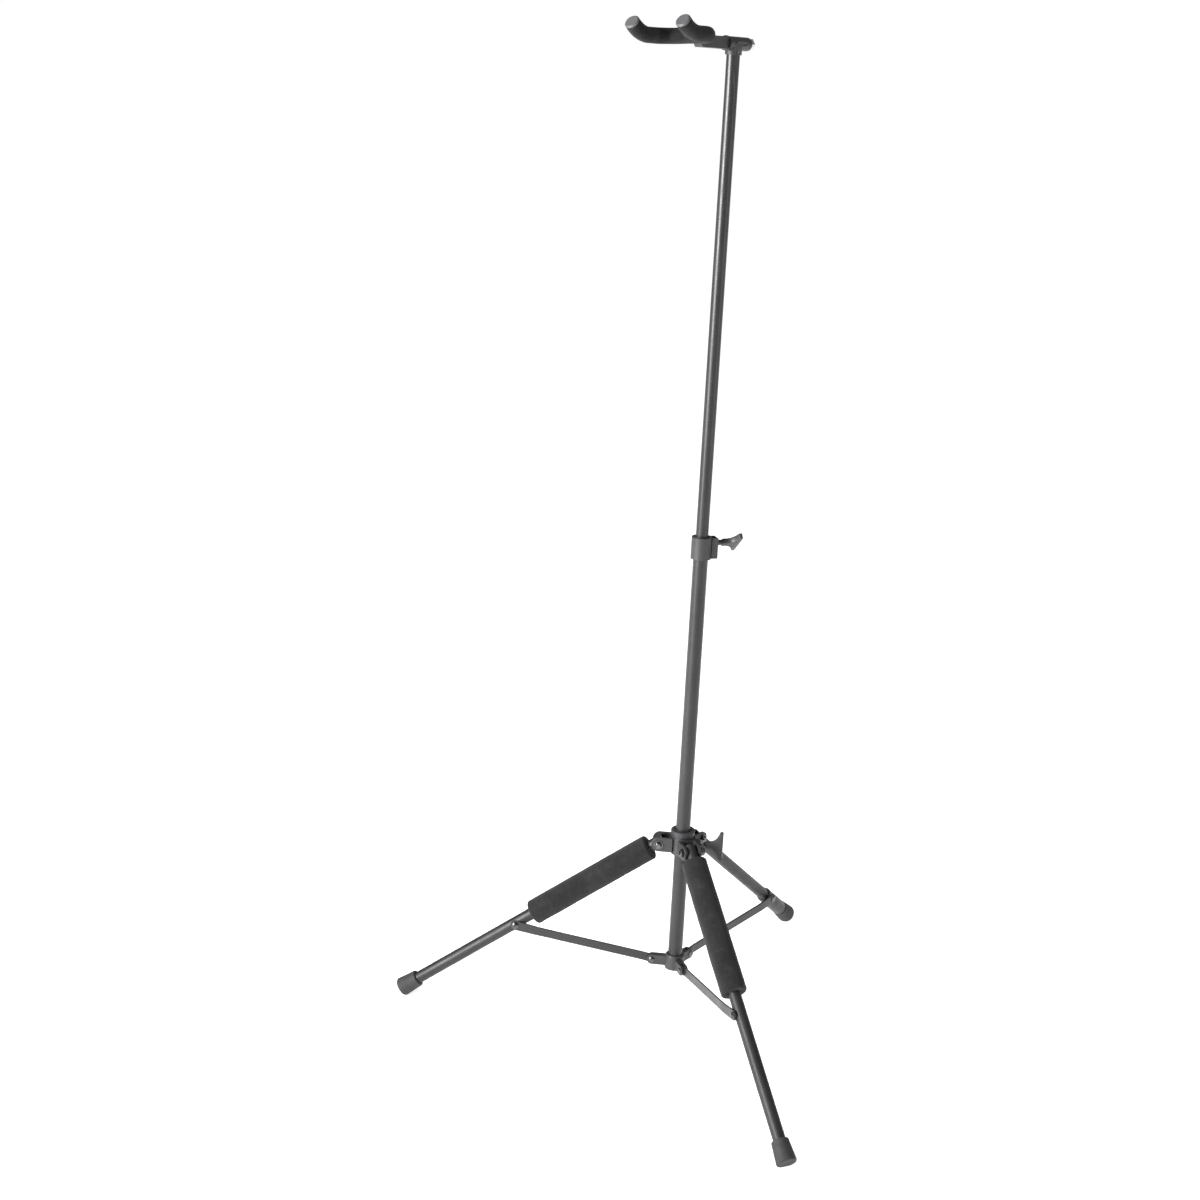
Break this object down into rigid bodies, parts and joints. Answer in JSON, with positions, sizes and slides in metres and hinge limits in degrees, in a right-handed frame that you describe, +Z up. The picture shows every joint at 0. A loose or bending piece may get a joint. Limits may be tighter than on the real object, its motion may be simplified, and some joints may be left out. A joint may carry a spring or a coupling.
{
  "type": "hanging guitar stand",
  "caption": "Folding floor stand with a telescoping mast, a tripod base with two padded front legs, and a swivelling padded fork that hangs a guitar by its headstock.",
  "frame": {"origin": "centre of the footprint box on the floor, the plane of the three foot flats", "axes": "+Z up; the padded fork opens towards -Y, the front; the rear leg points to +Y; +X is the side of the right leg"},
  "size_m": [0.642, 0.4938, 1.2866],
  "materials": {
    "black_paint": "smooth gloss black enamel",
    "grey_plastic": "fine satin moulded grain, dark grey",
    "black_plastic": "matte black",
    "foam": "matte closed-cell foam with a fine grain",
    "rubber": "matte dark grey moulded rubber",
    "chrome": "bright polished plating",
    "steel": "plain zinc-plated steel"
  },
  "bodies": {
    "base": {"lower_tube": "black_paint", "tube_end_plug": "black_plastic", "spider": "grey_plastic", "spider_screw": "steel", "height_clamp_collar": "grey_plastic", "height_clamp_liner": "black_plastic", "height_clamp_nut": "steel", "left_spider_rivet": "chrome", "right_spider_rivet": "chrome", "rear_spider_rivet": "chrome"},
    "upper": {"upper_tube": "black_paint", "upper_tube_glide": "black_plastic", "yoke_head": "grey_plastic", "head_pin": "steel"},
    "yoke": {"yoke_bar": "grey_plastic", "yoke_rod": "steel", "yoke_foam": "foam", "left_tip_cap": "grey_plastic", "right_tip_cap": "grey_plastic", "yoke_pivot_stud": "chrome", "yoke_friction_washer": "black_plastic", "yoke_rear_washer": "chrome", "yoke_pivot_nut": "chrome"},
    "height_clamp_screw": {"height_clamp_stud": "black_paint", "height_clamp_handle": "grey_plastic"},
    "hub": {"tripod_hub": "grey_plastic", "hub_liner": "black_plastic", "hub_clamp_nut": "steel", "left_leg_bolt": "chrome", "left_leg_head_washer": "chrome", "left_leg_nut_washer": "chrome", "left_leg_nut": "chrome", "right_leg_bolt": "chrome", "right_leg_head_washer": "chrome", "right_leg_nut_washer": "chrome", "right_leg_nut": "chrome", "rear_leg_bolt": "chrome", "rear_leg_head_washer": "chrome", "rear_leg_nut_washer": "chrome", "rear_leg_nut": "chrome"},
    "hub_clamp_screw": {"hub_clamp_stud": "black_paint", "hub_clamp_handle": "grey_plastic"},
    "left_leg": {"left_leg_tube": "black_paint", "left_leg_foam": "foam", "left_foot": "rubber"},
    "right_leg": {"right_leg_tube": "black_paint", "right_leg_foam": "foam", "right_foot": "rubber"},
    "rear_leg": {"rear_leg_tube": "black_paint", "rear_leg_collar": "grey_plastic", "rear_foot": "rubber"},
    "left_brace_arm": {"left_brace": "black_paint", "left_leg_rivet": "chrome"},
    "right_brace_arm": {"right_brace": "black_paint", "right_leg_rivet": "chrome"},
    "rear_brace_arm": {"rear_brace": "black_paint", "rear_leg_rivet": "chrome"}
  },
  "joints": [
    {"name": "mast_height", "type": "slide", "parent": "base", "child": "upper", "axis": [0, 0.0993, 0.9951], "range_m": [-0.42, 0.05]},
    {"name": "yoke_swivel", "type": "hinge", "parent": "upper", "child": "yoke", "pos_m": [0, 0.08256, 1.24595], "axis": [0, 0.9951, -0.0993], "range_deg": [-40, 40]},
    {"name": "height_clamp_turn", "type": "hinge", "parent": "base", "child": "height_clamp_screw", "pos_m": [0, 0.02205, 0.63976], "axis": [0.5736, 0.8151, -0.0814], "range_deg": [0, 720]},
    {"name": "tripod_slide", "type": "slide", "parent": "base", "child": "hub", "axis": [0, 0.0993, 0.9951], "range_m": [0, 0.23641]},
    {"name": "hub_clamp_turn", "type": "hinge", "parent": "hub", "child": "hub_clamp_screw", "pos_m": [0, -0.01837, 0.23478], "axis": [0.8746, 0.4824, -0.0482], "range_deg": [0, 720]},
    {"name": "left_leg_fold", "type": "hinge", "parent": "hub", "child": "left_leg", "pos_m": [-0.02572, -0.03445, 0.23487], "axis": [0.5284, -0.8448, 0.0843], "range_deg": [-0.5, 42.5]},
    {"name": "right_leg_fold", "type": "hinge", "parent": "hub", "child": "right_leg", "pos_m": [0.02572, -0.03445, 0.23487], "axis": [0.5284, 0.8448, -0.0843], "range_deg": [-0.5, 42.5]},
    {"name": "rear_leg_fold", "type": "hinge", "parent": "hub", "child": "rear_leg", "pos_m": [0, 0.01163, 0.23027], "axis": [-1, 0, 0], "range_deg": [-0.5, 35.09]},
    {"name": "left_brace_fold", "type": "hinge", "parent": "base", "child": "left_brace_arm", "pos_m": [-0.02572, -0.05119, 0.06721], "axis": [-0.5284, 0.8448, -0.0843], "range_deg": [-0.5, 65.32]},
    {"name": "right_brace_fold", "type": "hinge", "parent": "base", "child": "right_brace_arm", "pos_m": [0.02572, -0.05119, 0.06721], "axis": [-0.5284, -0.8448, 0.0843], "range_deg": [-0.5, 65.32]},
    {"name": "rear_brace_fold", "type": "hinge", "parent": "base", "child": "rear_brace_arm", "pos_m": [0, -0.00511, 0.06261], "axis": [1, 0, 0], "range_deg": [-0.5, 63.63]}
  ],
  "couplings": [
    {"joint": "left_leg_fold", "follows": "tripod_slide", "rad_per_m": 3.1007},
    {"joint": "right_leg_fold", "follows": "tripod_slide", "rad_per_m": 3.1007},
    {"joint": "rear_leg_fold", "follows": "tripod_slide", "rad_per_m": 2.5535},
    {"joint": "left_brace_fold", "follows": "tripod_slide", "rad_per_m": 4.7854},
    {"joint": "right_brace_fold", "follows": "tripod_slide", "rad_per_m": 4.7854},
    {"joint": "rear_brace_fold", "follows": "tripod_slide", "rad_per_m": 4.661}
  ]
}
